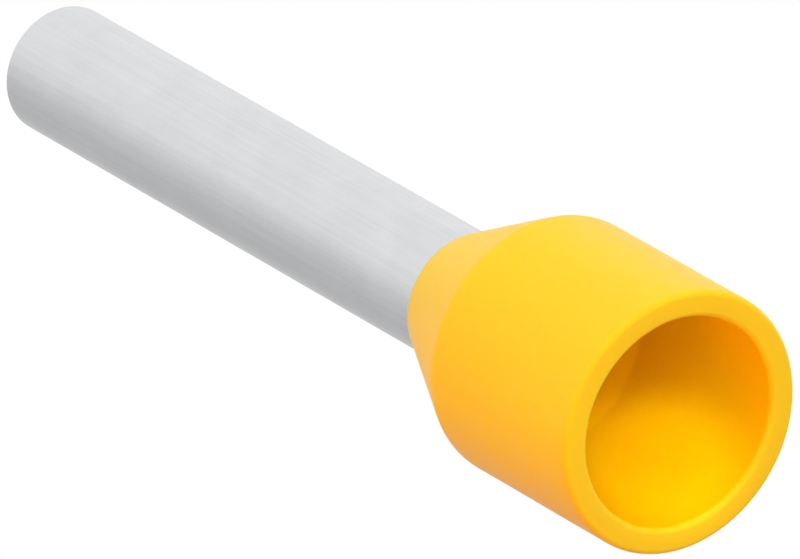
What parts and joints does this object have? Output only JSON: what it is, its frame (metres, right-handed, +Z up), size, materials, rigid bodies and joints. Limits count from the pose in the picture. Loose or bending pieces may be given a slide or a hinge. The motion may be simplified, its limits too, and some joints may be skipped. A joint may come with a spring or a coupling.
{
  "type": "insulated wire ferrule",
  "caption": "Wire-end ferrule: a slim tinned metal sleeve crimped onto a stranded conductor, with a flared yellow plastic collar that takes in the wire's insulation.",
  "frame": {"origin": "centre of the collar's mouth, in the plane of its rim, which is what the ferrule stands on", "axes": "+Z runs up along the ferrule's axis, from the wire-entry mouth to the sleeve's tip; the part is round about it, so X and Y are free"},
  "size_m": [0.0036, 0.0034, 0.014],
  "materials": {
    "tinned_copper": "satin",
    "yellow_polypropylene": "satin"
  },
  "bodies": {
    "root": {"sleeve": "tinned_copper", "collar": "yellow_polypropylene"}
  },
  "joints": []
}
